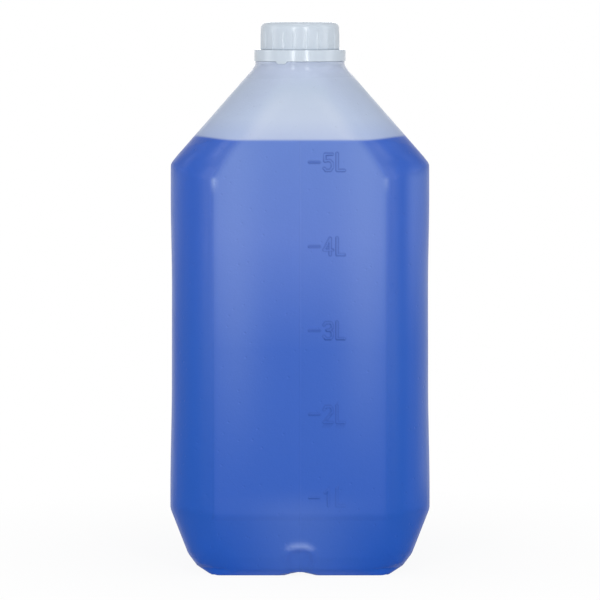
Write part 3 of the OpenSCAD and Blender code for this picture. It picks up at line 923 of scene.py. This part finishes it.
cap = {"bottom": 0.27563, "top": 0.2902, "radius": 0.0207, "inner": 0.01955, "wall": 0.0013,
       "edgeR": 0.0034, "lip": 0.0002, "ribs": 20, "ribWidth": 0.0013, "ribOut": 0.00028,
       "ribDrop": 0.0060, "ribFade": (0.0014, -0.0004), "thread": (1.2, 0.27765, 86.4),
       "segments": 480, "insideSegments": 160}


def capProfiles():  # the outside from the lip to the middle of the top, and the inside back
    low, high, outer, edge = cap["bottom"], cap["top"], cap["radius"], cap["edgeR"]
    inner, lip, ceiling = cap["inner"], cap["lip"], cap["top"] - cap["wall"]
    arc = [(outer - edge + edge * math.cos(a), high - edge + edge * math.sin(a))
           for a in np.radians(np.linspace(0, 90, 12))]
    outside = [(inner, low + lip), (inner + lip, low), (outer - 0.0003, low),
               (outer - 0.00008, low + 0.00008), (outer, low + 0.0003)]
    outside += [(outer, z) for z in np.linspace(low + 0.0009, high - edge - 0.0004, 12)] + arc
    outside += [(r, high) for r in (0.0160, 0.0120, 0.0080, 0.0040, 0)]
    inside = [(r, ceiling) for r in (0, 0.0060, 0.0120, 0.0185)]
    inside += [(0.0192, ceiling - 0.0001), (0.01945, ceiling - 0.00035), (inner, ceiling - 0.0008)]
    inside += [(inner, z) for z in np.linspace(ceiling - 0.0012, low + 0.0005, 40)]
    return outside, inside


def makeCap():
    outer, half = cap["radius"], cap["ribWidth"] / 2
    fadeOut, fadeIn = (cap["top"] - cap["ribDrop"] + step for step in cap["ribFade"])
    turns, startZ, startAngle = cap["thread"]
    ridge = threadRidge(turns, startZ, math.radians(startAngle))
    outside, inside = capProfiles()

    def bendOutside(turn, rs, zs):
        if rs[0] > outer - 0.0012:
            lap = turn * cap["ribs"] / (2 * math.pi) - 0.5
            away = np.abs(lap - np.round(lap)) * 2 * math.pi * outer / cap["ribs"]
            rib = smoothStep(half + 0.00012, half - 0.0003, away)
            fade = smoothStep(fadeOut, fadeIn, zs) if rs[0] <= outer + 1e-6 else 0
            rs = rs + cap["ribOut"] * rib * fade
        return rs, zs

    def bendInside(turn, rs, zs):
        return (rs - ridge(turn, zs) if rs[0] > cap["inner"] - 1e-6 else rs), zs

    points, faces, rows = spin(outside, cap["segments"], neckAxis, bendOutside)
    inPoints, inFaces, inRows = spin(inside, cap["insideSegments"], neckAxis, bendInside)
    base = len(points)
    faces += [tuple(base + k for k in f) for f in inFaces]
    allPoints = points + inPoints
    faces += zipLoops(allPoints, [base + k for k in inRows[-1]], rows[0], neckAxis)
    piece = makePiece("ScrewCap", allPoints, faces, capMaterial)
    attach(piece, "cap")
    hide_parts("cap")


makeCap()
print("cap made")


wad = {"bottom": 0.2880, "thick": 0.0009, "radius": 0.01905, "edge": 0.0002, "press": 0.00012,
       "segments": 144}


def makeWad():
    low, high, r = wad["bottom"], wad["bottom"] + wad["thick"], wad["radius"]
    edge, press = wad["edge"], wad["press"]  # the rim has pressed a shallow step into the wad
    profile = [(0, low), (0.0080, low), (0.0155, low), (0.0161, low + press * 0.3),
               (neck["bore"], low + press), (neck["r"], low + press), (0.0182, low + press * 0.5),
               (0.0184, low), (r - edge, low), (r, low + edge), (r, high - edge),
               (r - edge, high), (0.0120, high), (0.0060, high), (0, high)]
    points, faces, _ = spin(profile, wad["segments"], neckAxis)
    piece = makePiece("SealingWad", points, faces, foamMaterial)
    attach(piece, "liner")
    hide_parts("cap_liner")


makeWad()
print("wad made")


studio = {
    "distance": 1.9, "elevation": 5, "targetZ": 0.1385, "lens": 208.97,
    "floorColour": (0.88, 0.885, 0.89), "floorHalf": 8,
    "floorGlow": (0.08, 0.26, 0.93, 1.0),  # distance from, to, and the glow's share there
    # azimuth from the front, elevation, distance, width, height, power
    "lamps": [(-17, 13, 1.7, 0.14, 0.9, 7), (17, 13, 1.7, 0.14, 0.9, 7),
              (78, 20, 1.4, 0.5, 1.0, 3), (-85, 18, 1.5, 0.5, 1.0, 3.5),
              (0, 75, 1.5, 1.0, 1.0, 3), (180, 20, 1.7, 0.7, 0.8, 2.5)],
    "lampTargetZ": 0.15, "worldLight": 0.32,
}


def onCircle(azimuth, elevation, distance, targetZ):  # place and turn of what looks inwards
    a, e = math.radians(azimuth), math.radians(elevation)
    level = distance * math.cos(e)
    place = (level * math.sin(a), -level * math.cos(a), targetZ + distance * math.sin(e))
    return place, (math.radians(90) - e, 0, a)


def makeCamera():
    data = bpy.data.cameras.new("PhotoCamera")
    data.lens, data.sensor_width, data.clip_end = studio["lens"], 36, 50
    camera = bpy.data.objects.new("PhotoCamera", data)
    camera.location, camera.rotation_euler = onCircle(
        0, studio["elevation"], studio["distance"], studio["targetZ"])
    bpy.context.scene.collection.objects.link(camera)
    bpy.context.scene.camera = camera


def makeLamps():
    for k, (azimuth, elevation, distance, width, height, power) in enumerate(studio["lamps"]):
        data = bpy.data.lights.new(f"Softbox{k + 1}", "AREA")
        data.shape, data.size, data.size_y, data.energy = "RECTANGLE", width, height, power
        lamp = bpy.data.objects.new(data.name, data)
        lamp.location, lamp.rotation_euler = onCircle(
            azimuth, elevation, distance, studio["lampTargetZ"])
        bpy.context.scene.collection.objects.link(lamp)


def seenDirectly(tree):  # 1 for what the camera, a reflection or glass sees, else 0
    path = addNode(tree, "ShaderNodeLightPath")
    last = path.outputs["Is Camera Ray"]
    for name in ("Is Glossy Ray", "Is Transmission Ray"):
        last = combine(tree, "MAXIMUM", last, path.outputs[name])
    return last


def makeWorld():
    world = bpy.data.worlds.new("PaleStudio")
    bpy.context.scene.world = world
    world.use_nodes = True
    tree = world.node_tree
    back = tree.nodes["Background"]
    back.inputs["Color"].default_value = (1, 1, 1, 1)
    strength = spread(tree, seenDirectly(tree), 0, 1, studio["worldLight"], 1)
    tree.links.new(strength, back.inputs["Strength"])


def makeFloor():
    half = studio["floorHalf"]
    mesh = bpy.data.meshes.new("Floor")
    corners = [(-half, -half, 0), (half, -half, 0), (half, half, 0), (-half, half, 0)]
    mesh.from_pydata(corners, [], [(0, 1, 2, 3)])
    floor = bpy.data.objects.new("Floor", mesh)
    bpy.context.scene.collection.objects.link(floor)
    material, tree, shader = newMaterial(
        "paleFloor", {"Roughness": 0.9, "Base Color": (*studio["floorColour"], 1)})
    glow = addNode(tree, "ShaderNodeEmission", {"Color": (1, 1, 1, 1), "Strength": 1.0})
    place = addNode(tree, "ShaderNodeTexCoord")
    away = addNode(tree, "ShaderNodeVectorMath", operation="LENGTH")
    tree.links.new(place.outputs["Object"], away.inputs[0])
    share = spread(tree, away.outputs["Value"], *studio["floorGlow"])
    mix = addNode(tree, "ShaderNodeMixShader")
    tree.links.new(combine(tree, "MULTIPLY", share, seenDirectly(tree)), mix.inputs[0])
    tree.links.new(shader.outputs[0], mix.inputs[1])
    tree.links.new(glow.outputs[0], mix.inputs[2])
    tree.links.new(mix.outputs[0], tree.nodes["Material Output"].inputs["Surface"])
    mesh.materials.append(material)


makeCamera()
makeLamps()
makeWorld()
makeFloor()
bpy.context.scene.view_settings.view_transform = "Standard"
print("studio made")
